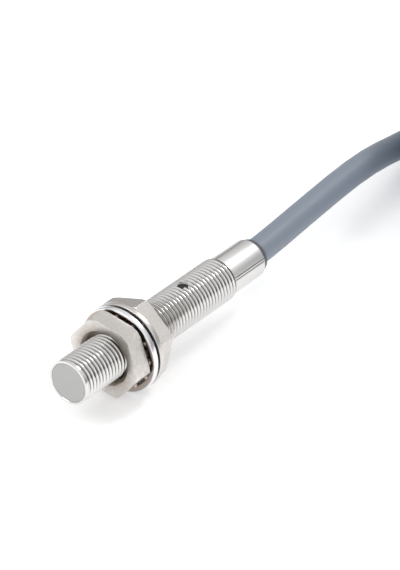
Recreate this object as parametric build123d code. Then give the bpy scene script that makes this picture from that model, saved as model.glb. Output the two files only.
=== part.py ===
"""Inductive proximity sensor in a fine-threaded M5 barrel, with its two nuts, washers and pre-wired cable.

Frame: the origin is the centre of the sensing face. +Y runs along the barrel towards the cable, +Z is up.
All sizes are in millimetres. Profiles of turned parts are (radius, y) points turned about the Y axis.
"""

from build123d import *
from math import cos, pi, radians, tan
import os

# ---- barrel ----
thread_nominal_r = 2.5
thread_pitch = 0.5
thread_allowance = 0.04
barrel_length = 30.0
tail_length = 5.3
tail_allowance = 0.007
barrel_wall = 0.243
front_rim = 0.45
rim_chamfer = 0.12
tail_edge = 0.15
seam_count = 4
seam_turn = -17.6
seam_width = 0.26
seam_depth = 0.07
seam_lead = 0.35

# ---- sensing end ----
face_step = 0.22
face_thickness = 0.35
face_gap = 0.01
skirt_length = 2.65
skirt_wall = 0.27
core_length = 1.7
core_floor = 0.5
core_wall = 0.3
core_post_r = 0.65
spool_wall = 0.12
spool_flange = 0.1
winding_depth = 0.36

# ---- electronics ----
# Places along the board are shares of the way from its front edge to the lamp, with x in millimetres.
board_side_gap = 0.45
board_thickness = 0.4
board_top = 0.0
board_front_gap = 0.3
board_end_gap = 2.9
led_setback = 6.0
led_size = (0.8, 1.6, 0.5)
chip_size = (2.0, 2.6, 0.7)
chip_place = (0.0, 0.305)
transistor_size = (1.3, 1.7, 0.6)
transistor_place = (0.0, 0.669)
capacitor_size = (0.6, 1.1, 0.5)
capacitor_places = ((0.9, 0.104), (-0.9, 0.104), (0.0, 0.5), (0.0, 0.838))
resistor_size = (0.55, 1.0, 0.35)
resistor_places = ((0.9, 0.208), (-0.9, 0.208), (0.0, 0.396), (0.0, 0.591), (0.7, 0.799), (-0.7, 0.799))
window_r = 0.61
window_recess = 0.12

# ---- nuts and washers ----
nut_across_flats = 8.0
nut_thickness = 2.0
nut_bevel_step = 0.3
nut_bevel_angle = 30.0
nut_bore_clearance = 0.06
nut_countersink_step = 0.64
front_nut_y = 5.65
front_nut_turn = 9.8
rear_nut_turn = 42.1
washer_overhang = 0.181
washer_clearance = 0.30
washer_thickness = 0.6
washer_slack = 0.03
tooth_count = 12
tooth_length = 1.29
tooth_width = 1.0
tooth_twist = 35.0
tooth_foot = 0.15
ring_edge = 0.04
lock_washer_gap = 0.33
between_washers = 0.37
seat_gap = 0.02

# ---- cable ----
cable_r = 1.5
wire_r = 0.4
wire_spacing = 0.85
wire_strip = 1.4
conductor_r = 0.2
solder_size = (0.62, 0.8, 0.35)
grommet_grip = 3.8
grommet_lip = 0.8
lip_chamfer = 0.1
exit_straight = 0.75
hank_x = 12.6
hank_near_y = 70.0
hank_run = 40.0
hank_outer_r = 15.6
hank_rows = 4
hank_columns = 3
hank_pitch = 3.15
hank_rise = 3.05
hank_lift = 0.7
hank_edge = 1.35
tie_y = 92.0
tie_width = 2.4
tie_thickness = 0.6
tie_gap = 0.1
lead_length = 18.0
lead_tip_length = 3.0
lead_fan = 3.0
lead_droop = 3.0

crest_r = thread_nominal_r - thread_allowance
root_r = thread_nominal_r - 0.6134 * thread_pitch
tail_r = root_r + tail_allowance
bore_r = root_r - barrel_wall
thread_length = barrel_length - tail_length
nut_bore_r = crest_r + nut_bore_clearance
nut_countersink_r = crest_r + nut_countersink_step
nut_corner_r = nut_across_flats / 2 / cos(pi / 6)
nut_bevel_circle_r = nut_across_flats / 2 + nut_bevel_step
washer_r = nut_corner_r + washer_overhang
washer_hole_r = crest_r + washer_clearance
washer_drop = washer_clearance - washer_slack
lock_washer_y = front_nut_y + nut_thickness + lock_washer_gap
flat_washer_y = lock_washer_y + washer_thickness + between_washers
rear_nut_y = flat_washer_y + washer_thickness + seat_gap
grommet_start = barrel_length - grommet_grip
grommet_end = barrel_length + grommet_lip
floor_z = -washer_r - washer_drop
hank_low_z = floor_z + hank_lift + cable_r
hank_top_z = hank_low_z + (hank_rows - 1) * hank_rise
hank_left_x = hank_x - hank_outer_r
hank_height = (hank_rows - 1) * hank_rise + 2 * cable_r
hank_rim_r = hank_outer_r + cable_r
hank_hole_r = hank_outer_r - (hank_columns - 1) * hank_pitch - cable_r
run_points = (
    (0.0, grommet_start, 0.0),
    (0.0, grommet_end + exit_straight, 0.0),
    (-0.95, 41.0, 0.0),
    (-2.0, 53.5, 0.0),
    (-2.9, 62.6, -2.0),
    (hank_left_x, hank_near_y, hank_low_z),
)
end_points = (
    (1.0, 59.6, hank_top_z),
    (-1.6, 64.4, hank_top_z + 1.1),
    (-2.9, 70.2, hank_top_z + 2.5),
    (-3.1, 77.6, hank_top_z + 3.1),
    (-2.5, 85.0, hank_top_z + 3.1),
)


def turned(*outline):
    """Turn a closed outline of (radius, y) points about the Y axis."""
    return revolve(make_face(Polyline(*outline, close=True)), Axis.Y)


def rod(radius, start, end, x=0.0, z=0.0):
    """A plain round bar along +Y."""
    return Pos(x, start, z) * extrude(Plane.XZ * Circle(radius), -(end - start))


def block(size, x, y, z):
    """A box centred at x and y, standing on height z."""
    return Pos(x, y, z) * Box(*size, align=(Align.CENTER, Align.CENTER, Align.MIN))


def tube_along(points, radius):
    """A round tube along straight runs joined by arcs, with its printed radii and volume ratio."""
    corners = [Vector(*p) for p in points]
    runs = [b - a for a, b in zip(corners, corners[1:])]
    radii = []
    for before, after in zip(runs, runs[1:]):
        turn = radians(before.get_angle(after))
        radii.append(0.45 * min(before.length, after.length) / tan(turn / 2))
    path = FilletPolyline(*points, radius=radii)
    tube = sweep(Plane(corners[0], z_dir=runs[0]) * Circle(radius), path=path)
    share = tube.volume / (pi * radius**2 * path.length)
    print("runs", [round(run.length, 1) for run in runs], "radii", [round(r, 1) for r in radii])
    print("length", round(path.length, 1), "volume over section x length", round(share, 4))
    return tube


# ---- barrel ----
def barrel_outline():
    """Outside of the barrel: rim, one V-groove a pitch along the thread, then the plain tail."""
    depth = crest_r - root_r
    flank = depth * tan(pi / 6)
    crest_flat = thread_pitch / 6
    root_flat = thread_pitch - crest_flat - 2 * flank
    points = [(0, 0), (crest_r - rim_chamfer, 0), (crest_r, rim_chamfer), (crest_r, front_rim)]
    rings = int((thread_length - front_rim) / thread_pitch)
    y = front_rim
    for _ in range(rings):
        points.append((root_r, y + flank))
        points.append((root_r, y + flank + root_flat))
        points.append((crest_r, y + 2 * flank + root_flat))
        points.append((crest_r, y + thread_pitch))
        y += thread_pitch
    points.append((tail_r, y + crest_r - tail_r))
    points.append((tail_r, barrel_length - tail_edge))
    points.append((tail_r - tail_edge, barrel_length))
    points.append((0, barrel_length))
    return points


def make_barrel():
    body = turned(*barrel_outline())
    body -= rod(bore_r, -1, barrel_length + 1)
    body -= rod(face_r + face_gap, -1, face_thickness)
    body -= Pos(0, led_y, 0) * Cylinder(
        window_r + face_gap, 2 * crest_r, align=(Align.CENTER, Align.CENTER, Align.MIN)
    )
    seam_start = thread_length + crest_r - tail_r + seam_lead
    seam = Pos(0, seam_start, tail_r - seam_depth) * Box(
        seam_width, barrel_length, 1, align=(Align.CENTER, Align.MIN, Align.MIN)
    )
    for k in range(seam_count):
        body -= Rot(0, seam_turn + k * 360 / seam_count, 0) * seam
    return body


# ---- sensing end ----
face_r = bore_r + face_step
skirt_r = bore_r - face_gap
skirt_inner_r = skirt_r - skirt_wall
skirt_end = face_thickness + skirt_length
core_r = skirt_inner_r - face_gap
core_start = face_thickness + face_gap
core_end = core_start + core_length
pocket_end = core_end - core_floor
pocket_r = core_r - core_wall


def make_sensing_cap():
    return turned(
        (0, 0), (face_r, 0), (face_r, face_thickness), (skirt_r, face_thickness), (skirt_r, skirt_end),
        (skirt_inner_r, skirt_end), (skirt_inner_r, face_thickness), (0, face_thickness),
    )


def make_ferrite_core():
    return turned(
        (0, core_start), (core_post_r, core_start), (core_post_r, pocket_end), (pocket_r, pocket_end),
        (pocket_r, core_start), (core_r, core_start), (core_r, core_end), (0, core_end),
    )


spool_inner_r = core_post_r + face_gap
spool_hub_r = spool_inner_r + spool_wall
spool_r = pocket_r - face_gap
spool_start = core_start
spool_end = pocket_end - face_gap
winding_r = min(spool_hub_r + winding_depth, spool_r)


def make_coil_bobbin():
    return turned(
        (spool_inner_r, spool_start), (spool_r, spool_start), (spool_r, spool_start + spool_flange),
        (spool_hub_r, spool_start + spool_flange), (spool_hub_r, spool_end - spool_flange),
        (spool_r, spool_end - spool_flange), (spool_r, spool_end), (spool_inner_r, spool_end),
    )


def make_coil_winding():
    start = spool_start + spool_flange
    end = spool_end - spool_flange
    return turned((spool_hub_r, start), (winding_r, start), (winding_r, end), (spool_hub_r, end))


# ---- electronics ----
board_width = 2 * (bore_r - board_side_gap)
board_start = skirt_end + board_front_gap
board_length = grommet_start - board_end_gap - board_start
led_y = thread_length - led_setback
window_top = root_r - window_recess


def make_circuit_board():
    size = (board_width, board_length, board_thickness)
    return block(size, 0, board_start + board_length / 2, board_top - board_thickness)


def on_board(size, place, under=False):
    """A component on the board's upper face, or under the board."""
    z = board_top - board_thickness - size[2] if under else board_top
    return block(size, place[0], board_start + place[1] * (led_y - board_start), z)


def make_led_window():
    """Clear plug over the lamp, kept below the thread so that the nuts pass over it."""
    bottom = board_top + led_size[2] + face_gap
    return Pos(0, led_y, bottom) * Cylinder(
        window_r, window_top - bottom, align=(Align.CENTER, Align.CENTER, Align.MIN)
    )


wire_z = board_top + wire_r + face_gap
wire_start = board_start + board_length - wire_strip
solder_y = wire_start - face_gap - solder_size[1] / 2


def wire_x(k):
    return (k - 1) * wire_spacing


def make_solder_joints():
    pads = [block(solder_size, wire_x(k), solder_y, board_top) for k in range(3)]
    return Compound(pads)


def make_wire(k):
    return rod(wire_r, wire_start, grommet_start - face_gap, wire_x(k), wire_z)


# ---- cable end of the barrel ----
def make_grommet():
    """Rubber ring clamped in the tail, with a small lip outside it."""
    lip_r = bore_r - lip_chamfer
    inner = cable_r + face_gap
    outer = bore_r - face_gap
    return turned(
        (inner, grommet_start), (outer, grommet_start), (outer, barrel_length), (lip_r, grommet_end),
        (inner, grommet_end),
    )


def make_potting(fillings):
    """Resin in every space that the other pieces leave inside the barrel."""
    gap = face_gap
    resin = rod(skirt_inner_r - gap, core_end + gap, board_start)
    resin += rod(bore_r - gap, skirt_end + gap, grommet_start - gap)
    for piece in fillings:
        resin -= piece
    return resin


# ---- nuts and washers ----
def make_nut(y, turn):
    """Hexagon nut with bevelled corners and countersunk mouths."""
    corner = nut_corner_r + 0.05
    bevel = (corner - nut_bevel_circle_r) * tan(radians(nut_bevel_angle))
    sink = nut_countersink_r - nut_bore_r
    hexagon = Plane.XZ * RegularPolygon(nut_corner_r, 6)
    prism = Rot(0, turn, 0) * extrude(hexagon, -nut_thickness)
    envelope = turned(
        (0, 0), (nut_bevel_circle_r, 0), (corner, bevel), (corner, nut_thickness - bevel),
        (nut_bevel_circle_r, nut_thickness), (0, nut_thickness),
    )
    opening = turned(
        (0, -1), (nut_countersink_r, -1), (nut_countersink_r, 0), (nut_bore_r, sink),
        (nut_bore_r, nut_thickness - sink), (nut_countersink_r, nut_thickness),
        (nut_countersink_r, nut_thickness + 1), (0, nut_thickness + 1),
    )
    return Pos(0, y, 0) * ((prism & envelope) - opening)


def washer_ring(inner):
    edge = ring_edge
    thickness = washer_thickness
    return turned(
        (inner, 0), (washer_r - edge, 0), (washer_r, edge), (washer_r, thickness - edge),
        (washer_r - edge, thickness), (inner, thickness),
    )


def make_lock_washer():
    """Ring with twisted internal teeth, hanging on the thread by its upper tooth tips."""
    washer = washer_ring(washer_hole_r + tooth_length)
    size = (tooth_width, washer_thickness, tooth_length + tooth_foot)
    tooth = Box(*size, align=(Align.CENTER, Align.CENTER, Align.MIN))
    tooth = Pos(0, washer_thickness / 2, washer_hole_r) * Rot(0, 0, tooth_twist) * tooth
    for k in range(tooth_count):
        washer += Rot(0, k * 360 / tooth_count, 0) * tooth
    return Pos(0, lock_washer_y, -washer_drop) * washer


def make_flat_washer():
    return Pos(0, flat_washer_y, -washer_drop) * washer_ring(washer_hole_r)


# ---- cable ----
def make_cable_hank():
    """Outer shape of the put-away turns: two straight sides joined by round folds, lying flat."""
    section = Rectangle(hank_rim_r - hank_hole_r, hank_height, align=(Align.MIN, Align.MIN))
    section = fillet(section.vertices(), hank_edge)
    section = Plane.XZ * Pos(hank_hole_r, 0) * section
    fold = Pos(0, hank_run / 2, 0) * revolve(section, Axis.Z, 180)
    side = Pos(0, hank_run / 2, 0) * extrude(section, hank_run)
    half = fold + side
    bundle = half + Rot(0, 0, 180) * half
    return Pos(hank_x, hank_near_y + hank_run / 2, hank_low_z - cable_r) * bundle


def make_cable_tie():
    """Flat band round one side of the hank, touching the floor."""
    width = hank_rim_r - hank_hole_r
    inner = Rectangle(width + 2 * tie_gap, hank_height + 2 * tie_gap)
    outer = Rectangle(width + 2 * (tie_gap + tie_thickness), hank_height + 2 * (tie_gap + tie_thickness))
    inner = fillet(inner.vertices(), hank_edge)
    outer = fillet(outer.vertices(), hank_edge + tie_thickness)
    band = extrude(Plane.XZ * (outer - inner), tie_width / 2, both=True)
    middle_x = hank_x + (hank_rim_r + hank_hole_r) / 2
    return Pos(middle_x, tie_y, hank_low_z - cable_r + hank_height / 2) * band


def lead_plane(k):
    """Start of one bare-ended lead: the k-th of three fanned out of the sheath's cut end."""
    tip = Vector(*end_points[-1])
    along = (tip - Vector(*end_points[-2])).normalized()
    across = along.cross(Vector(0, 0, 1)).normalized()
    start = tip + across * (k - 1) * wire_spacing + along * face_gap
    aim = along + across * (k - 1) * tan(radians(lead_fan)) - Vector(0, 0, tan(radians(lead_droop)))
    return Plane(start + along * wire_r * tan(radians(lead_fan + lead_droop)), z_dir=aim)


def make_lead(k):
    return extrude(lead_plane(k) * Circle(wire_r), lead_length)


def make_lead_tips():
    tips = []
    for k in range(3):
        end = lead_plane(k).offset(lead_length + face_gap)
        tips.append(extrude(end * Circle(conductor_r), lead_tip_length))
    return Compound(tips)


def main():
    parts = {
        "barrel_housing": make_barrel(),
        "sensing_cap": make_sensing_cap(),
        "ferrite_core": make_ferrite_core(),
        "coil_bobbin": make_coil_bobbin(),
        "coil_winding": make_coil_winding(),
        "circuit_board": make_circuit_board(),
        "sensor_chip": on_board(chip_size, chip_place),
        "output_transistor": on_board(transistor_size, transistor_place),
        "capacitors": Compound([on_board(capacitor_size, place) for place in capacitor_places]),
        "resistors": Compound([on_board(resistor_size, place, under=True) for place in resistor_places]),
        "indicator_led": block(led_size, 0, led_y, board_top),
        "led_window": make_led_window(),
        "solder_joints": make_solder_joints(),
    }
    for k, colour in enumerate(("brown", "blue", "black")):
        parts[f"wire_{colour}"] = make_wire(k)
    inside = [piece for name, piece in parts.items() if name != "barrel_housing"]
    parts["potting"] = make_potting(inside)
    parts["cable_grommet"] = make_grommet()
    parts["front_nut"] = make_nut(front_nut_y, front_nut_turn)
    parts["lock_washer"] = make_lock_washer()
    parts["flat_washer"] = make_flat_washer()
    parts["rear_nut"] = make_nut(rear_nut_y, rear_nut_turn)
    parts["cable_run"] = tube_along(run_points, cable_r)
    parts["cable_hank"] = make_cable_hank()
    parts["cable_tie"] = make_cable_tie()
    parts["cable_end"] = tube_along(end_points, cable_r)
    for k, colour in enumerate(("brown", "blue", "black")):
        parts[f"lead_{colour}"] = make_lead(k)
    parts["lead_tips"] = make_lead_tips()
    os.makedirs("parts", exist_ok=True)
    for name, piece in parts.items():
        export_step(piece, f"parts/{name}.step")


main()
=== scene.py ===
"""A short M5 proximity sensor: threaded barrel, sensing face, nuts, washers, lamp and cable."""

from math import atan2, cos, pi, radians, sin, tan

import bmesh
import bpy
from bpy.props import FloatProperty, FloatVectorProperty, IntProperty, PointerProperty
from mathutils import Matrix, Vector


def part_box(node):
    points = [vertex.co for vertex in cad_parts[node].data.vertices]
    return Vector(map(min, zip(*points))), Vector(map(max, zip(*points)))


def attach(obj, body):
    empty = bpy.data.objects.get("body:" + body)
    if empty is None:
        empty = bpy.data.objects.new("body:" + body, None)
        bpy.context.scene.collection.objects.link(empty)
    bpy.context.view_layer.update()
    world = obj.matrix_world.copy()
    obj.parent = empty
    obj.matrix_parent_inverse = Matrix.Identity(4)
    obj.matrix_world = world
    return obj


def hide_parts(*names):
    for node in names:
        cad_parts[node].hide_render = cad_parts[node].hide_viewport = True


bl_info = {
    "name": "Threaded Proximity Sensor",
    "version": (1, 0, 0),
    "blender": (4, 5, 0),
    "location": "3D View > Sidebar > Sensor",
    "description": "Builds a small threaded proximity sensor with its nuts, washers and cable",
    "category": "Object",
}

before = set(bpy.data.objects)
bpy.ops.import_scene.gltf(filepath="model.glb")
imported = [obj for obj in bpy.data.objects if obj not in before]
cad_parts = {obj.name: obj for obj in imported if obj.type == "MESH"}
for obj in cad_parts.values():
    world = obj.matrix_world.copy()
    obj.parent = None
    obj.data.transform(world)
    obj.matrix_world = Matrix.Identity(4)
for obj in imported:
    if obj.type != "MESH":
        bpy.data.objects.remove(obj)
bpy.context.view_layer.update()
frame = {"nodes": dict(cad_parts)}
MM = 0.001
MERGE = 1e-8
LENS = 230.1
CAMERA_AIM = (0.00511, 0.015, 0.00615)
CAMERA_DISTANCE = 0.370
CAMERA_TURN = radians(37.87)
CAMERA_HEIGHT = radians(32.40)
LIGHT_AIM = (0, 0.015, 0)
FLOOR_HALF = 1.2
EVEN = (1, 1, 1)


def size(name, description, millimetres):
    return FloatProperty(
        name=name, description=description, default=millimetres * MM, unit="LENGTH", precision=5
    )


def colour(name, description, value):
    return FloatVectorProperty(
        name=name, description=description, default=value, size=3, min=0, max=1, subtype="COLOR"
    )


def turn(name, description, degrees):
    return FloatProperty(name=name, description=description, default=radians(degrees), unit="ROTATION")


class SensorSizes(bpy.types.PropertyGroup):
    """Sizes of the visible pieces."""

    crest: size("Thread crest", "Radius over the thread's crests", 2.46)
    root: size("Thread root", "Radius at the thread's roots", 2.193)
    pitch: size("Thread pitch", "Advance of the thread in one turn", 0.5)
    thread_end: size("Thread end", "Where the thread stops", 24.7)
    rim: size("Front rim", "Length of the plain rim before the thread", 0.3)
    bore: size("Bore", "Radius of the barrel's bore", 1.95)
    tail: size("Tail", "Radius of the plain tail", 2.2)
    barrel: size("Barrel length", "Length of the barrel", 30.0)
    face: size("Face radius", "Radius of the sensing face", 2.17)
    lamp_y: size("Lamp place", "Distance of the lamp hole from the face", 18.7)
    lamp: size("Lamp hole", "Radius of the lamp hole", 0.62)
    seam_gap: size("Seam gap", "Distance of the two lines of a seam in the tail", 0.288)
    seam_depth: size("Seam depth", "Depth of a seam line in the tail", 0.08)
    seam_turn: turn("Seam turn", "Turn of the first seam from the top", -17.6)
    flats: size("Across flats", "Width of a nut across its flats", 8.0)
    nut: size("Nut thickness", "Thickness of a nut", 2.0)
    nut_bevel: size("Nut bevel circle", "Radius where a nut's bevel starts", 4.3)
    nut_bore: size("Nut bore", "Radius of a nut's bore", 2.52)
    nut_mouth: size("Nut mouth", "Radius of a nut's countersink", 3.1)
    front_nut: size("Front nut place", "Distance of the front nut from the face", 5.65)
    front_turn: turn("Front nut turn", "Turn of the front nut", 9.8)
    rear_nut: size("Rear nut place", "Distance of the rear nut from the face", 9.57)
    rear_turn: turn("Rear nut turn", "Turn of the rear nut", 42.1)
    washer: size("Washer radius", "Outer radius of both washers", 4.8)
    washer_hole: size("Washer hole", "Radius of the washers' holes", 2.76)
    washer_thickness: size("Washer thickness", "Thickness of a washer", 0.6)
    washer_drop: size("Washer drop", "How far the washers hang below centre", 0.27)
    lock_washer: size("Lock washer place", "Distance of the lock washer from the face", 7.98)
    flat_washer: size("Flat washer place", "Distance of the flat washer from the face", 8.95)
    teeth: IntProperty(name="Teeth", description="Number of the lock washer's teeth", default=12, min=4)
    tooth_root: size("Tooth root", "Radius where the teeth start", 4.05)
    tooth_width: size("Tooth width", "Width of a tooth", 1.0)
    tooth_twist: turn("Tooth twist", "Twist of a tooth", 35.0)
    cable: size("Cable radius", "Radius of the cable's sheath", 1.5)
    lip: size("Grommet lip", "How far the grommet stands out of the tail", 0.8)
    hank_x: size("Hank centre", "Sideways place of the hank's centre line", 12.6)
    hank_near: size("Hank near end", "Where the hank's straight sides start", 70.0)
    hank_run: size("Hank run", "Length of the hank's straight sides", 40.0)
    hank_outer: size("Hank fold", "Radius of the hank's outer folds", 15.6)
    hank_pitch: size("Hank pitch", "Distance of the turns side by side", 3.15)
    hank_rise: size("Hank rise", "Distance of the turns on each other", 3.05)
    hank_low: size("Hank height", "Height of the lowest turns", -2.87)
    hank_rows: IntProperty(name="Hank rows", description="Layers of turns", default=4, min=2)
    hank_columns: IntProperty(name="Hank columns", description="Turns in a layer", default=3, min=1)
    tie_y: size("Tie place", "Where the tie holds the hank", 92.0)
    tie_width: size("Tie width", "Width of the tie", 2.4)
    floor: size("Floor height", "Height of the surface below the sensor", -5.07)


class SensorColours(bpy.types.PropertyGroup):
    """Colours of the finishes."""

    barrel: colour("Barrel", "Bright turned steel", (0.77, 0.76, 0.75))
    nut: colour("Nuts", "Satin nickel", (0.90, 0.865, 0.83))
    washer: colour("Washers", "Bright nickel", (0.86, 0.865, 0.90))
    plain: colour("Flat washer", "Satin nickel", (0.88, 0.85, 0.83))
    face: colour("Sensing face", "Fine matt moulding", (0.41, 0.415, 0.405))
    sheath: colour("Cable sheath", "Blue-grey satin sheath", (0.215, 0.25, 0.305))
    grommet: colour("Grommet", "Dark rubber", (0.085, 0.09, 0.10))
    window: colour("Lamp window", "Smoky clear moulding", (0.012, 0.012, 0.012))
    tie: colour("Tie", "White moulding", (0.72, 0.72, 0.70))
    floor: colour("Floor", "Plain white surface", (0.86, 0.86, 0.86))


# ---- materials ----
def socket(group, name, out, kind, default=None):
    made = group.interface.new_socket(name=name, in_out="OUTPUT" if out else "INPUT", socket_type=kind)
    if default is not None:
        made.default_value = default
    return made


def add(tree, kind, **settings):
    """A node with its settings; a setting that is a socket's name is given to that socket."""
    node = tree.nodes.new(kind)
    for name, value in settings.items():
        if hasattr(node, name):
            setattr(node, name, value)
        else:
            node.inputs[name.replace("_", " ")].default_value = value
    return node


def fine_grain_group():
    """Shared grain: mottling of a colour, an uneven roughness and a small height, at any stretch."""
    name = "fine_grain"
    if name in bpy.data.node_groups:
        return bpy.data.node_groups[name]
    group = bpy.data.node_groups.new(name, "ShaderNodeTree")
    socket(group, "Base", False, "NodeSocketColor", (0.5, 0.5, 0.5, 1))
    socket(group, "Shade", False, "NodeSocketColor", (0.4, 0.4, 0.4, 1))
    socket(group, "Stretch", False, "NodeSocketVector", (1, 1, 1))
    socket(group, "Scale", False, "NodeSocketFloat", 1000)
    socket(group, "Amount", False, "NodeSocketFloat", 0.3)
    socket(group, "Rough Low", False, "NodeSocketFloat", 0.3)
    socket(group, "Rough High", False, "NodeSocketFloat", 0.4)
    socket(group, "Color", True, "NodeSocketColor")
    socket(group, "Roughness", True, "NodeSocketFloat")
    socket(group, "Height", True, "NodeSocketFloat")
    entry = add(group, "NodeGroupInput")
    result = add(group, "NodeGroupOutput")
    place = add(group, "ShaderNodeTexCoord")
    stretch = add(group, "ShaderNodeVectorMath", operation="MULTIPLY")
    fine = add(group, "ShaderNodeTexNoise", Detail=6, Roughness=0.6)
    broad = add(group, "ShaderNodeTexNoise", Scale=260, Detail=3)
    blend = add(group, "ShaderNodeMath", operation="MULTIPLY_ADD")
    blend.inputs[1].default_value = 0.6
    amount = add(group, "ShaderNodeMath", operation="MULTIPLY")
    mix = add(group, "ShaderNodeMix", data_type="RGBA")
    rough = add(group, "ShaderNodeMapRange")
    spread = add(group, "ShaderNodeMath", operation="MULTIPLY")
    spread.inputs[1].default_value = 0.4
    link = group.links.new
    link(place.outputs["Object"], stretch.inputs[0])
    link(entry.outputs["Stretch"], stretch.inputs[1])
    link(stretch.outputs[0], fine.inputs["Vector"])
    link(entry.outputs["Scale"], fine.inputs["Scale"])
    link(place.outputs["Object"], broad.inputs["Vector"])
    link(broad.outputs["Fac"], spread.inputs[0])
    link(fine.outputs["Fac"], blend.inputs[0])
    link(spread.outputs[0], blend.inputs[2])
    link(blend.outputs[0], amount.inputs[0])
    link(entry.outputs["Amount"], amount.inputs[1])
    link(amount.outputs[0], mix.inputs["Factor"])
    link(entry.outputs["Base"], mix.inputs[6])
    link(entry.outputs["Shade"], mix.inputs[7])
    link(mix.outputs[2], result.inputs["Color"])
    link(blend.outputs[0], rough.inputs["Value"])
    link(entry.outputs["Rough Low"], rough.inputs["To Min"])
    link(entry.outputs["Rough High"], rough.inputs["To Max"])
    rough.inputs["From Min"].default_value = 0.3
    rough.inputs["From Max"].default_value = 0.7
    link(rough.outputs[0], result.inputs["Roughness"])
    link(fine.outputs["Fac"], result.inputs["Height"])
    return group


def painted_shade_group():
    """Shared painted shade and reflection by distance from the barrel's axis: one colour inside, another
    outside.
    """
    name = "ring_shade"
    if name in bpy.data.node_groups:
        return bpy.data.node_groups[name]
    group = bpy.data.node_groups.new(name, "ShaderNodeTree")
    socket(group, "Color", False, "NodeSocketColor", (0.8, 0.8, 0.8, 1))
    socket(group, "Painted Shade", False, "NodeSocketColor", (0.2, 0.2, 0.2, 1))
    socket(group, "Inside Radius", False, "NodeSocketFloat", 0.002)
    socket(group, "Outside Radius", False, "NodeSocketFloat", 0.003)
    socket(group, "Drop", False, "NodeSocketFloat", 0.0)
    socket(group, "Color", True, "NodeSocketColor")
    entry = add(group, "NodeGroupInput")
    result = add(group, "NodeGroupOutput")
    place = add(group, "ShaderNodeTexCoord")
    split = add(group, "ShaderNodeSeparateXYZ")
    lift = add(group, "ShaderNodeMath", operation="ADD")
    join = add(group, "ShaderNodeCombineXYZ")
    away = add(group, "ShaderNodeVectorMath", operation="LENGTH")
    mask = add(group, "ShaderNodeMapRange", interpolation_type="SMOOTHSTEP")
    tint = add(group, "ShaderNodeMix", data_type="RGBA")
    shade = add(group, "ShaderNodeMix", data_type="RGBA", blend_type="MULTIPLY")
    tint.inputs[7].default_value = (1, 1, 1, 1)
    shade.inputs["Factor"].default_value = 1
    link = group.links.new
    link(place.outputs["Object"], split.inputs[0])
    link(split.outputs["Z"], lift.inputs[0])
    link(entry.outputs["Drop"], lift.inputs[1])
    link(split.outputs["X"], join.inputs["X"])
    link(lift.outputs[0], join.inputs["Z"])
    link(join.outputs[0], away.inputs[0])
    link(away.outputs["Value"], mask.inputs["Value"])
    link(entry.outputs["Inside Radius"], mask.inputs["From Min"])
    link(entry.outputs["Outside Radius"], mask.inputs["From Max"])
    link(mask.outputs[0], tint.inputs["Factor"])
    link(entry.outputs["Painted Shade"], tint.inputs[6])
    link(tint.outputs[2], shade.inputs[7])
    link(entry.outputs["Color"], shade.inputs[6])
    link(shade.outputs[2], result.inputs["Color"])
    return group


def ring_shade(material, tint, inside, outside, drop=0.0):
    """Darkens a grained material with painted shade inside a radius, fading out to another radius."""
    tree = material.node_tree
    surface = tree.nodes["Principled BSDF"]
    source = surface.inputs["Base Color"].links[0].from_socket
    ring = add(tree, "ShaderNodeGroup", node_tree=painted_shade_group())
    tree.links.new(source, ring.inputs["Color"])
    ring.inputs["Painted Shade"].default_value = (*tint, 1)
    ring.inputs["Inside Radius"].default_value = inside
    ring.inputs["Outside Radius"].default_value = outside
    ring.inputs["Drop"].default_value = drop
    tree.links.new(ring.outputs["Color"], surface.inputs["Base Color"])
    return material


def finish(
    name, base, shade=0.8, rough=(0.3, 0.4), metallic=0.0, stretch=EVEN, scale=900.0, amount=0.4,
    bump=0.1, depth=0.01 * MM, **shader,
):
    """A grained material: its colour, darker shade, roughness span, and the grain's stretch and size."""
    if name in bpy.data.materials:
        return bpy.data.materials[name]
    material = bpy.data.materials.new(name)
    material.use_nodes = True
    tree = material.node_tree
    surface = tree.nodes["Principled BSDF"]
    surface.inputs["Metallic"].default_value = metallic
    for key, value in shader.items():
        surface.inputs[key.replace("_", " ")].default_value = value
    grain = add(tree, "ShaderNodeGroup", node_tree=fine_grain_group())
    grain.inputs["Base"].default_value = (*base, 1)
    grain.inputs["Shade"].default_value = (*(shade * c for c in base), 1)
    grain.inputs["Stretch"].default_value = stretch
    grain.inputs["Scale"].default_value = scale
    grain.inputs["Amount"].default_value = amount
    grain.inputs["Rough Low"].default_value = rough[0]
    grain.inputs["Rough High"].default_value = rough[1]
    relief = add(tree, "ShaderNodeBump", Strength=bump, Distance=depth)
    tree.links.new(grain.outputs["Color"], surface.inputs["Base Color"])
    tree.links.new(grain.outputs["Roughness"], surface.inputs["Roughness"])
    tree.links.new(grain.outputs["Height"], relief.inputs["Height"])
    tree.links.new(relief.outputs["Normal"], surface.inputs["Normal"])
    return material


def turned_steel(name, base):
    """Metal with fine lines left by turning, which run round the barrel's axis."""
    return finish(
        name, base, shade=0.70, rough=(0.16, 0.24), metallic=1, stretch=(1, 3, 1), scale=2400, bump=0.25,
        depth=0.008 * MM,
    )


# ---- mesh helpers ----
def join_piece(bm, name, material, body, nodes, smooth=32):
    """Closes a mesh into a named piece that rides on a body and stands for its CAD nodes."""
    bmesh.ops.remove_doubles(bm, verts=bm.verts, dist=MERGE)
    bmesh.ops.recalc_face_normals(bm, faces=bm.faces)
    mesh = bpy.data.meshes.new(name)
    bm.to_mesh(mesh)
    bm.free()
    mesh.polygons.foreach_set("use_smooth", [True] * len(mesh.polygons))
    mesh.set_sharp_from_angle(angle=radians(smooth))
    mesh.materials.append(material)
    piece = bpy.data.objects.new(name, mesh)
    bpy.context.scene.collection.objects.link(piece)
    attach(piece, body)
    if nodes:
        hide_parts(*nodes)
    return piece


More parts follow.
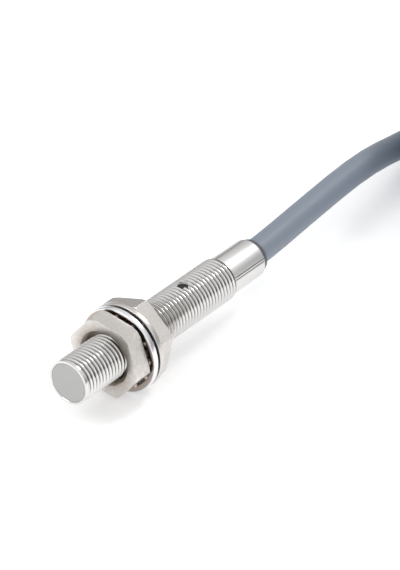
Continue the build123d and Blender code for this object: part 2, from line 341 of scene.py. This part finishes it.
def turned(bm, outline, steps=96):
    """Spins a closed outline of (radius, y) points about the Y axis."""
    verts = [bm.verts.new((r, y, 0)) for r, y in outline]
    edges = [bm.edges.new(pair) for pair in zip(verts, verts[1:] + verts[:1])]
    bmesh.ops.spin(
        bm, geom=verts + edges, cent=(0, 0, 0), axis=(0, 1, 0), angle=2 * pi, steps=steps, use_merge=True
    )
    bmesh.ops.remove_doubles(bm, verts=bm.verts, dist=MERGE)
    bmesh.ops.recalc_face_normals(bm, faces=bm.faces)


def soften(bm, width, segments=2, sharper_than=25):
    """Rounds every edge sharper than an angle."""
    edges = [e for e in bm.edges if len(e.link_faces) == 2 and e.calc_face_angle() > radians(sharper_than)]
    bmesh.ops.bevel(
        bm, geom=edges, affect="EDGES", offset=width, segments=segments, profile=0.5, material=-1,
        clamp_overlap=True,
    )


def open_loop(bm, y):
    """The open edges that lie at a place along the barrel."""
    return [e for e in bm.edges if len(e.link_faces) == 1 and all(abs(v.co.y - y) < 1e-6 for v in e.verts)]


def grow(bm, edges, places):
    """Draws an open loop out through (radius, y) places, each vertex at its own angle."""
    for radius, y in places:
        made = bmesh.ops.extrude_edge_only(bm, edges=edges)["geom"]
        edges = [g for g in made if isinstance(g, bmesh.types.BMEdge)]
        for v in {v for e in edges for v in e.verts}:
            across = Vector((v.co.x, 0, v.co.z)).normalized() * radius
            v.co = (across.x, y, across.z)
    return edges


# ---- barrel ----
def thread_profile(s):
    """One pitch of the thread: rounded crest, flank, rounded root, flank."""
    flank = (s.crest - s.root) * tan(pi / 6)
    crest = s.pitch / 6
    root = s.pitch - crest - 2 * flank
    ease = 0.014 * MM
    return [
        (s.crest - ease, 0),
        (s.crest, crest * 0.3),
        (s.crest, crest * 0.7),
        (s.crest - ease, crest),
        (s.root + 2 * ease, crest + flank - 1.2 * ease),
        (s.root + 0.4 * ease, crest + flank + root * 0.2),
        (s.root, crest + flank + root * 0.5),
        (s.root + 0.4 * ease, crest + flank + root * 0.8),
        (s.root + 2 * ease, crest + flank + root + 1.2 * ease),
        (s.crest - ease, s.pitch),
    ]


def make_thread(s, steel, front_steel, wall):
    """The threaded length with its rim and bore, and the lamp hole through its wall."""
    bm = bmesh.new()
    steps = 72
    turns = int((s.thread_end - s.rim) / s.pitch) + 4
    start = s.rim - 2 * s.pitch
    verts = [bm.verts.new((0, start + y, r)) for r, y in thread_profile(s)]
    edges = [bm.edges.new(pair) for pair in zip(verts, verts[1:])]
    bmesh.ops.spin(
        bm, geom=verts + edges, cent=(0, 0, 0), axis=(0, 1, 0), dvec=(0, s.pitch / steps, 0),
        angle=2 * pi, steps=steps,
    )
    one_turn = bm.verts[:] + bm.edges[:] + bm.faces[:]
    for k in range(1, turns):
        copy = bmesh.ops.duplicate(bm, geom=one_turn)["geom"]
        copied = [g for g in copy if isinstance(g, bmesh.types.BMVert)]
        bmesh.ops.translate(bm, verts=copied, vec=(0, k * s.pitch, 0))
    bmesh.ops.remove_doubles(bm, verts=bm.verts, dist=2e-7)
    for y, side in ((s.rim, -1), (s.thread_end, 1)):
        everything = bm.verts[:] + bm.edges[:] + bm.faces[:]
        bmesh.ops.bisect_plane(
            bm, geom=everything, dist=1e-9, plane_co=(0, y, 0), plane_no=(0, side, 0), clear_outer=True
        )
    edge = 0.03 * MM
    front = grow(bm, open_loop(bm, s.rim), [
        (s.crest, s.rim), (s.crest, edge), (s.crest - 0.3 * edge, 0.3 * edge), (s.crest - edge, 0),
        (s.face + 0.05 * MM, 0), (s.face + 0.01 * MM, 0.04 * MM), (s.face + 0.01 * MM, 0.35 * MM),
        (s.bore, 0.35 * MM), (s.bore, s.thread_end - 0.02 * MM),
    ])
    back = grow(bm, open_loop(bm, s.thread_end), [(s.bore, s.thread_end)])
    bmesh.ops.bridge_loops(bm, edges=front + back)
    # The front rim takes steel without the painted root shade.
    for face in bm.faces:
        if face.calc_center_median().y < s.rim:
            face.material_index = 1
    piece = join_piece(bm, "barrel_thread", steel, "barrel", ["barrel_housing"], 28)
    piece.data.materials.append(front_steel)
    cutter_mesh = bmesh.new()
    place = Matrix.Translation((0, s.lamp_y, s.crest))
    bmesh.ops.create_cone(
        cutter_mesh, cap_ends=True, segments=48, radius1=s.lamp, radius2=s.lamp, depth=2 * MM, matrix=place
    )
    cutter_data = bpy.data.meshes.new("lamp_hole")
    cutter_mesh.to_mesh(cutter_data)
    cutter_mesh.free()
    # The lamp hole's wall takes the material painted as lit.
    cutter_data.materials.append(wall)
    cutter = bpy.data.objects.new("lamp_hole", cutter_data)
    bpy.context.scene.collection.objects.link(cutter)
    cut = piece.modifiers.new("lamp_hole", "BOOLEAN")
    cut.operation = "DIFFERENCE"
    cut.solver = "EXACT"
    cut.material_mode = "TRANSFER"
    cut.object = cutter
    bpy.context.view_layer.update()
    depsgraph = bpy.context.evaluated_depsgraph_get()
    drilled = bpy.data.meshes.new_from_object(piece.evaluated_get(depsgraph))
    piece.modifiers.clear()
    piece.data = drilled
    bpy.data.objects.remove(cutter)
    return piece


def make_tail(s, steel):
    """The plain tail with its four seams of two fine lines each."""
    bm = bmesh.new()
    steps = 144
    start = s.thread_end + 0.3 * MM
    edge = 0.05 * MM
    turned(bm, [
        (s.bore, s.thread_end), (s.crest - 0.06 * MM, s.thread_end), (s.tail, s.thread_end + 0.2 * MM),
        (s.tail, start), (s.tail, s.barrel - 2 * edge), (s.tail - 0.4 * edge, s.barrel - 0.4 * edge),
        (s.tail - 2 * edge, s.barrel), (s.bore + edge, s.barrel), (s.bore, s.barrel - edge),
    ], steps)
    bmesh.ops.rotate(
        bm, verts=bm.verts, cent=(0, 0, 0), matrix=Matrix.Rotation(s.seam_turn, 3, "Y")
    )
    seams = []
    for face in bm.faces:
        centre = face.calc_center_median()
        angle = atan2(centre.x, centre.z) - s.seam_turn
        nearest = abs((angle + pi / 4) % (pi / 2) - pi / 4)
        outside = Vector((centre.x, centre.z)).length > s.tail * 0.985
        in_line = abs(nearest * s.tail - s.seam_gap / 2) < 0.5 * pi * s.tail / steps
        if outside and start < centre.y < s.barrel - 2 * edge and in_line:
            seams.append(face)
    bmesh.ops.inset_region(
        bm, faces=seams, thickness=0.008 * MM, depth=-s.seam_depth, use_boundary=True, use_even_offset=True
    )
    return join_piece(bm, "barrel_tail", steel, "barrel", [], 28)


# ---- nuts and washers ----
def make_nut(s, name, y, angle, metal):
    """Hexagon nut: a turned blank with bevelled corners and countersunk mouths, cut by six flats."""
    bm = bmesh.new()
    corner = s.flats / 2 / cos(pi / 6) + 0.05 * MM
    bevel = (corner - s.nut_bevel) * tan(pi / 6)
    sink = s.nut_mouth - s.nut_bore
    turned(bm, [
        (s.nut_bore, sink), (s.nut_mouth, 0), (s.nut_bevel, 0), (corner, bevel), (corner, s.nut - bevel),
        (s.nut_bevel, s.nut), (s.nut_mouth, s.nut), (s.nut_bore, s.nut - sink),
    ], 120)
    for k in range(6):
        way = Vector((sin(angle + k * pi / 3), 0, cos(angle + k * pi / 3)))
        everything = bm.verts[:] + bm.edges[:] + bm.faces[:]
        cut = bmesh.ops.bisect_plane(
            bm, geom=everything, dist=1e-9, plane_co=way * s.flats / 2, plane_no=way, clear_outer=True
        )["geom_cut"]
        bmesh.ops.holes_fill(bm, edges=[g for g in cut if isinstance(g, bmesh.types.BMEdge)], sides=0)
    soften(bm, 0.085 * MM, 3, 22)
    bmesh.ops.translate(bm, verts=bm.verts, vec=(0, y, 0))
    piece = join_piece(bm, name, metal, name, [name], 40)
    weigh = piece.modifiers.new("even_faces", "WEIGHTED_NORMAL")
    weigh.keep_sharp = True
    return piece


def washer_blank(bm, s, hole):
    """Plain ring with rounded edges."""
    turned(bm, [(hole, 0), (s.washer, 0), (s.washer, s.washer_thickness), (hole, s.washer_thickness)], 128)
    soften(bm, 0.09 * MM, 3)


def make_lock_washer(s, metal):
    """Ring with twisted teeth round its hole."""
    bm = bmesh.new()
    washer_blank(bm, s, s.tooth_root)
    for k in range(s.teeth):
        tooth = bmesh.ops.create_cube(bm, size=1)["verts"]
        long = s.tooth_root + 0.15 * MM - s.washer_hole
        bmesh.ops.scale(bm, verts=tooth, vec=(s.tooth_width, s.washer_thickness * 0.96, long))
        bmesh.ops.rotate(bm, verts=tooth, cent=(0, 0, 0), matrix=Matrix.Rotation(s.tooth_twist, 3, "Z"))
        bmesh.ops.translate(bm, verts=tooth, vec=(0, s.washer_thickness / 2, s.washer_hole + long / 2))
        bmesh.ops.rotate(
            bm, verts=tooth, cent=(0, 0, 0), matrix=Matrix.Rotation(k * 2 * pi / s.teeth, 3, "Y")
        )
        edges = {e for v in tooth for e in v.link_edges}
        bmesh.ops.bevel(
            bm, geom=list(edges), affect="EDGES", offset=0.05 * MM, segments=2, profile=0.5, material=-1
        )
    bmesh.ops.translate(bm, verts=bm.verts, vec=(0, s.lock_washer, -s.washer_drop))
    return join_piece(bm, "lock_washer_ring", metal, "lock_washer", ["lock_washer"], 40)


def make_flat_washer(s, metal):
    """Plain ring between the lock washer and the rear nut."""
    bm = bmesh.new()
    washer_blank(bm, s, s.washer_hole)
    bmesh.ops.translate(bm, verts=bm.verts, vec=(0, s.flat_washer, -s.washer_drop))
    return join_piece(bm, "flat_washer_ring", metal, "flat_washer", ["flat_washer"], 40)


# ---- cable ----
def cable_route(s):
    """Control points from the grommet along the floor, round the hank's turns and out on top of it."""
    route = [(0, 26.2, 0), (0, 31.55, 0), (-0.95, 41, 0), (-2, 53.5, 0), (-2.9, 62.6, -2)]
    points = [Vector(p) * MM for p in route]
    lanes = list(range(s.hank_columns))
    order = [(row, lane) for row in range(s.hank_rows) for lane in (lanes if row % 2 == 0 else lanes[::-1])]
    places = [(s.hank_outer - lane * s.hank_pitch, s.hank_low + row * s.hank_rise) for row, lane in order]
    near = s.hank_near
    far = s.hank_near + s.hank_run
    parts = 9
    for k, (radius, z) in enumerate(places):
        for share in (0, 0.33, 0.67):
            points.append(Vector((s.hank_x - radius, near + share * s.hank_run, z)))
        for i in range(parts + 1):
            a = pi * i / parts
            points.append(Vector((s.hank_x - radius * cos(a), far + radius * sin(a) * 1.01, z)))
        for share in (0.67, 0.33):
            points.append(Vector((s.hank_x + radius, near + share * s.hank_run, z)))
        if k + 1 < len(places):
            next_radius, next_z = places[k + 1]
            for i in range(parts):
                a = pi * i / parts
                r = radius + (next_radius - radius) * i / parts
                climb = z + (next_z - z) * i / parts
                points.append(Vector((s.hank_x + r * cos(a), near - r * sin(a) * 1.01, climb)))
    top = places[-1][1]
    radius = places[-1][0]
    for i in range(6):
        a = pi * i / 9
        points.append(Vector((s.hank_x + radius * cos(a), near - radius * sin(a) * 1.01, top)))
    ending = [(1.0, 59.6, 0.3), (-1.6, 64.4, 1.3), (-2.9, 70.2, 2.6), (-3.1, 77.6, 3.1), (-2.5, 85.0, 3.1)]
    points += [Vector((x * MM, y * MM, top + z * MM)) for x, y, z in ending]
    return points


def make_cable(s, sheath):
    """The sheath, a tube along the smooth line of the cable's route."""
    points = cable_route(s)
    curve = bpy.data.curves.new("cable", "CURVE")
    curve.dimensions = "3D"
    curve.bevel_depth = s.cable
    curve.bevel_resolution = 6
    curve.use_fill_caps = True
    curve.resolution_u = 3
    spline = curve.splines.new("NURBS")
    spline.points.add(len(points) - 1)
    for point, place in zip(spline.points, points):
        point.co = (*place, 1)
    spline.order_u = 3
    spline.use_endpoint_u = True
    spline.resolution_u = 3
    curve.materials.append(sheath)
    cable = bpy.data.objects.new("cable", curve)
    bpy.context.scene.collection.objects.link(cable)
    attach(cable, "barrel")
    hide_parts("cable_run", "cable_hank", "cable_end")
    return cable


def make_tie(s, plastic):
    """Moulded strap round one side of the hank, with its locking head."""
    node = frame["nodes"]["cable_tie"]
    bm = bmesh.new()
    bm.from_mesh(node.data)
    bmesh.ops.remove_doubles(bm, verts=bm.verts, dist=1e-6)
    bmesh.ops.dissolve_limit(bm, angle_limit=radians(1), verts=bm.verts, edges=bm.edges)
    low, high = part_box("cable_tie")
    head = bmesh.ops.create_cube(bm, size=1)["verts"]
    bmesh.ops.scale(bm, verts=head, vec=(1.9 * MM, s.tie_width * 1.5, 3.4 * MM))
    bmesh.ops.translate(bm, verts=head, vec=(high[0] + 0.3 * MM, s.tie_y, 3 * MM))
    tail = bmesh.ops.create_cube(bm, size=1)["verts"]
    bmesh.ops.scale(bm, verts=tail, vec=(0.7 * MM, s.tie_width, 5 * MM))
    bmesh.ops.translate(bm, verts=tail, vec=(high[0] + 0.4 * MM, s.tie_y, 6.6 * MM))
    soften(bm, 0.12 * MM, 2, 40)
    return join_piece(bm, "cable_tie_strap", plastic, "barrel", ["cable_tie"], 40)


# ---- operators ----
class SENSOR_OT_stage(bpy.types.Operator):
    """Adds the floor, the soft light and the camera"""

    bl_idname = "sensor.stage"
    bl_label = "Stage"

    def execute(self, context):
        s = context.scene.sensor_sizes
        c = context.scene.sensor_colours
        bm = bmesh.new()
        bmesh.ops.create_grid(bm, x_segments=1, y_segments=1, size=FLOOR_HALF)
        bmesh.ops.translate(bm, verts=bm.verts, vec=(0, 0, s.floor))
        mesh = bpy.data.meshes.new("floor")
        bm.to_mesh(mesh)
        bm.free()
        floor = bpy.data.objects.new("floor", mesh)
        context.scene.collection.objects.link(floor)
        paper = finish(
            "white_paper", tuple(c.floor), shade=0.99, rough=(0.7, 0.8), scale=300, amount=0.3, bump=0
        )
        shader = paper.node_tree.nodes["Principled BSDF"]
        shader.inputs["Specular IOR Level"].default_value = 0.1
        shader.inputs["Emission Color"].default_value = (1, 1, 1, 1)
        shader.inputs["Emission Strength"].default_value = 0.32
        mesh.materials.append(paper)
        world = bpy.data.worlds.new("studio")
        context.scene.world = world
        world.use_nodes = True
        tree = world.node_tree
        sky = tree.nodes["Background"]
        place = add(tree, "ShaderNodeTexCoord")
        split = add(tree, "ShaderNodeSeparateXYZ")
        front = add(tree, "ShaderNodeMath", operation="MULTIPLY", use_clamp=True)
        front.inputs[1].default_value = -0.4
        total = add(tree, "ShaderNodeMath", operation="ADD")
        ramp = add(tree, "ShaderNodeValToRGB")
        tree.links.new(place.outputs["Generated"], split.inputs[0])
        tree.links.new(split.outputs["Y"], front.inputs[0])
        tree.links.new(front.outputs[0], total.inputs[0])
        tree.links.new(split.outputs["Z"], total.inputs[1])
        tree.links.new(total.outputs[0], ramp.inputs["Fac"])
        tree.links.new(ramp.outputs["Color"], sky.inputs["Color"])
        stops = ramp.color_ramp.elements
        stops[0].position = 0.05
        stops[0].color = (0.30, 0.29, 0.285, 1)
        stops[1].position = 0.55
        stops[1].color = (1.0, 1.0, 1.0, 1)
        sky.inputs["Strength"].default_value = 0.84
        for name, place, width, power in (
            ("key", (-0.21, -0.42, 0.50), 0.30, 1.1),
            ("back", (0.11, 0.48, 0.51), 0.16, 1.1),
            ("fill", (0.5, -0.3, 0.35), 0.45, 0.4),
        ):
            lamp = bpy.data.lights.new(name, "AREA")
            lamp.size = width
            lamp.energy = power
            light = bpy.data.objects.new(name, lamp)
            light.location = place
            light.rotation_euler = (Vector(LIGHT_AIM) - Vector(place)).to_track_quat("-Z", "Y").to_euler()
            context.scene.collection.objects.link(light)
        data = bpy.data.cameras.new("camera")
        data.sensor_width = 36
        data.lens = LENS
        data.clip_start = 0.01
        camera = bpy.data.objects.new("camera", data)
        level = cos(CAMERA_HEIGHT)
        back = Vector((sin(CAMERA_TURN) * level, -cos(CAMERA_TURN) * level, sin(CAMERA_HEIGHT)))
        camera.location = Vector(CAMERA_AIM) + CAMERA_DISTANCE * back
        camera.rotation_euler = (-back).to_track_quat("-Z", "Y").to_euler()
        context.scene.collection.objects.link(camera)
        context.scene.camera = camera
        context.scene.view_settings.view_transform = "Standard"
        return {"FINISHED"}


class SENSOR_OT_cable(bpy.types.Operator):
    """Adds the cable with its hank, tie and grommet, and gives the bare leads their finishes"""

    bl_idname = "sensor.cable"
    bl_label = "Cable"

    def execute(self, context):
        s = context.scene.sensor_sizes
        c = context.scene.sensor_colours
        sheath = finish(
            "blue_grey_sheath", tuple(c.sheath), shade=0.82, rough=(0.46, 0.56), stretch=(1, 0.2, 1),
            scale=1500, amount=0.5, bump=0.15, Coat_Weight=0.05,
        )
        cable = make_cable(s, sheath)
        plastic = finish("white_tie", tuple(c.tie), shade=0.93, rough=(0.4, 0.5), amount=0.3)
        tie = make_tie(s, plastic)
        rubber = finish(
            "dark_rubber", tuple(c.grommet), shade=1.3, rough=(0.5, 0.62), scale=2500, amount=0.5, bump=0.2
        )
        bm = bmesh.new()
        lip = s.barrel + s.lip
        turned(bm, [
            (s.cable + 0.01 * MM, s.barrel - 3.8 * MM), (s.bore - 0.01 * MM, s.barrel - 3.8 * MM),
            (s.bore - 0.01 * MM, s.barrel), (s.bore - 0.05 * MM, lip - 0.1 * MM), (s.bore - 0.16 * MM, lip),
            (s.cable + 0.1 * MM, lip), (s.cable + 0.01 * MM, lip - 0.08 * MM),
        ])
        grommet = join_piece(bm, "grommet_ring", rubber, "barrel", ["cable_grommet"], 40)
        nodes = frame["nodes"]
        looks = {
            "lead_brown": ("brown_lead", (0.17, 0.06, 0.025)),
            "lead_blue": ("blue_lead", (0.02, 0.09, 0.42)),
            "lead_black": ("black_lead", (0.015, 0.015, 0.016)),
        }
        for node, (name, base) in looks.items():
            give(nodes[node], finish(name, base, stretch=(1, 0.3, 1), scale=2500, amount=0.3, bump=0.08))
        tinned = finish(
            "tinned_copper", (0.72, 0.70, 0.68), shade=0.7, rough=(0.2, 0.35), metallic=1,
            stretch=(6, 1, 6), scale=3000,
        )
        give(nodes["lead_tips"], tinned)
        return {"FINISHED"}


def give(node, material):
    """Puts one material on a CAD node."""
    node.data.materials.clear()
    node.data.materials.append(material)


class SENSOR_OT_barrel(bpy.types.Operator):
    """Adds the threaded barrel with its tail"""

    bl_idname = "sensor.barrel"
    bl_label = "Barrel"

    def execute(self, context):
        s = context.scene.sensor_sizes
        c = context.scene.sensor_colours
        thread = turned_steel("bright_turned_steel", tuple(c.barrel))
        # Painted highlight: the lamp hole's wall is painted near white and barely metallic, as a lit wall.
        wall = finish(
            "hole_wall_painted_lit", (0.92, 0.92, 0.92), shade=0.9, rough=(0.35, 0.45), metallic=0.2, scale=2400
        )
        # Painted shade: the thread's roots are painted near black, fading out up the flanks.
        ring_shade(thread, (0.14, 0.135, 0.13), s.root, s.root + 0.14 * MM)
        make_thread(s, thread, turned_steel("turned_front_rim", tuple(c.barrel)), wall)
        tail = finish(
            "drawn_steel_tail", tuple(c.barrel), shade=0.78, rough=(0.36, 0.48), metallic=1,
            stretch=(9, 0.4, 9), scale=500, amount=0.5, bump=0.2,
        )
        # Painted shade: the seam grooves, below the tail's surface, are painted near black.
        make_tail(s, ring_shade(tail, (0.10, 0.10, 0.10), s.tail - s.seam_depth, s.tail - 0.01 * MM))
        return {"FINISHED"}


class SENSOR_OT_face(bpy.types.Operator):
    """Adds the sensing face"""

    bl_idname = "sensor.face"
    bl_label = "Sensing face"

    def execute(self, context):
        s = context.scene.sensor_sizes
        c = context.scene.sensor_colours
        matt = finish(
            "matt_grey_face", tuple(c.face), shade=0.86, rough=(0.45, 0.55), scale=2600, amount=0.45,
            bump=0.25,
        )
        bm = bmesh.new()
        turned(bm, [
            (0, 0.012 * MM), (s.face - 0.2 * MM, 0.012 * MM), (s.face - 0.06 * MM, 0.02 * MM),
            (s.face - 0.01 * MM, 0.05 * MM), (s.face, 0.1 * MM), (s.face, 0.34 * MM), (0, 0.34 * MM),
        ], 96)
        join_piece(bm, "face_disc", matt, "barrel", ["sensing_cap"], 40)
        return {"FINISHED"}


class SENSOR_OT_nuts(bpy.types.Operator):
    """Adds the two hexagon nuts"""

    bl_idname = "sensor.nuts"
    bl_label = "Nuts"

    def execute(self, context):
        s = context.scene.sensor_sizes
        c = context.scene.sensor_colours
        metal = finish(
            "satin_nickel", tuple(c.nut), shade=0.42, rough=(0.24, 0.40), metallic=1, scale=2600,
            amount=0.95, bump=0.7,
        )
        # Painted reflection and shade: the nuts are painted brown-grey towards the bore, fading out just
        # past the flats.
        ring_shade(metal, (0.50, 0.44, 0.39), 0.8 * s.nut_mouth, 1.07 * s.flats / 2)
        make_nut(s, "front_nut", s.front_nut, s.front_turn, metal)
        make_nut(s, "rear_nut", s.rear_nut, s.rear_turn, metal)
        return {"FINISHED"}


class SENSOR_OT_washers(bpy.types.Operator):
    """Adds the toothed washer and the flat washer"""

    bl_idname = "sensor.washers"
    bl_label = "Washers"

    def execute(self, context):
        s = context.scene.sensor_sizes
        c = context.scene.sensor_colours
        metal = finish(
            "bright_nickel", tuple(c.washer), shade=0.88, rough=(0.18, 0.27), metallic=1, scale=1500,
            amount=0.25, bump=0.06,
        )
        # Painted reflection: the washer face is painted brown inside its bright rim, for the nut reflected
        # in it.
        ring_shade(metal, (0.50, 0.43, 0.37), s.washer - 0.22 * MM, s.washer - 0.10 * MM, s.washer_drop)
        make_lock_washer(s, metal)
        plain = finish(
            "satin_washer", tuple(c.plain), shade=0.45, rough=(0.24, 0.36), metallic=1, scale=2400,
            amount=0.9, bump=0.3,
        )
        make_flat_washer(s, plain)
        return {"FINISHED"}


class SENSOR_OT_electronics(bpy.types.Operator):
    """Gives the coil, the board and the other inner pieces their finishes"""

    bl_idname = "sensor.electronics"
    bl_label = "Electronics"

    def execute(self, context):
        c = context.scene.sensor_colours
        nodes = frame["nodes"]
        chip = finish("moulded_chip", (0.025, 0.025, 0.027), shade=1.4, rough=(0.4, 0.5), scale=3000)
        tin = finish("tin_solder", (0.66, 0.66, 0.68), rough=(0.15, 0.3), metallic=1, scale=2000)
        looks = {
            "ferrite_core": finish(
                "sintered_ferrite", (0.045, 0.045, 0.05), shade=1.5, rough=(0.5, 0.65), metallic=0.1,
                scale=3500,
            ),
            "coil_bobbin": finish("spool_moulding", (0.55, 0.53, 0.48), shade=0.9, rough=(0.4, 0.5)),
            "coil_winding": finish(
                "enamelled_copper", (0.62, 0.24, 0.09), shade=0.6, rough=(0.2, 0.35), metallic=1,
                stretch=(1, 14, 1), scale=2500,
            ),
            "circuit_board": finish(
                "solder_mask", (0.02, 0.16, 0.06), shade=0.75, rough=(0.25, 0.35), scale=1800
            ),
            "sensor_chip": chip,
            "output_transistor": chip,
            "capacitors": finish(
                "ceramic_tan", (0.42, 0.28, 0.15), shade=0.85, rough=(0.4, 0.5), scale=3000
            ),
            "resistors": chip,
            "indicator_led": finish(
                "lamp_resin", (0.70, 0.62, 0.35), shade=0.9, rough=(0.15, 0.25), scale=1500
            ),
            "led_window": finish(
                "smoky_window", tuple(c.window), shade=1.5, rough=(0.24, 0.30), scale=2500, amount=0.3,
                bump=0, Specular_IOR_Level=0.25,
            ),
            "solder_joints": tin,
            "wire_brown": finish("brown_core", (0.17, 0.06, 0.025)),
            "wire_blue": finish("blue_core", (0.02, 0.09, 0.42)),
            "wire_black": finish("black_core", (0.015, 0.015, 0.016), shade=1.4),
            "potting": finish("cast_resin", (0.10, 0.085, 0.06), shade=0.75, rough=(0.3, 0.45)),
        }
        for name, material in looks.items():
            give(nodes[name], material)
        return {"FINISHED"}


class SENSOR_PT_panel(bpy.types.Panel):
    """Lists the sensor's pieces, sizes and colours"""

    bl_idname = "SENSOR_PT_panel"
    bl_label = "Proximity Sensor"
    bl_space_type = "VIEW_3D"
    bl_region_type = "UI"
    bl_category = "Sensor"

    def draw(self, context):
        for operator in OPERATORS:
            self.layout.operator(operator.bl_idname)
        for group in (context.scene.sensor_sizes, context.scene.sensor_colours):
            box = self.layout.box()
            for name in group.__annotations__:
                box.prop(group, name)


OPERATORS = (
    SENSOR_OT_stage,
    SENSOR_OT_cable,
    SENSOR_OT_barrel,
    SENSOR_OT_face,
    SENSOR_OT_nuts,
    SENSOR_OT_washers,
    SENSOR_OT_electronics,
)
CLASSES = (SensorSizes, SensorColours, *OPERATORS, SENSOR_PT_panel)


def register():
    for cls in CLASSES:
        bpy.utils.register_class(cls)
    bpy.types.Scene.sensor_sizes = PointerProperty(type=SensorSizes)
    bpy.types.Scene.sensor_colours = PointerProperty(type=SensorColours)


def unregister():
    del bpy.types.Scene.sensor_colours
    del bpy.types.Scene.sensor_sizes
    for cls in reversed(CLASSES):
        bpy.utils.unregister_class(cls)


def main():
    register()
    bpy.ops.sensor.stage()
    bpy.ops.sensor.cable()
    bpy.ops.sensor.barrel()
    bpy.ops.sensor.face()
    bpy.ops.sensor.nuts()
    bpy.ops.sensor.washers()
    bpy.ops.sensor.electronics()


if __name__ == "__main__":
    main()
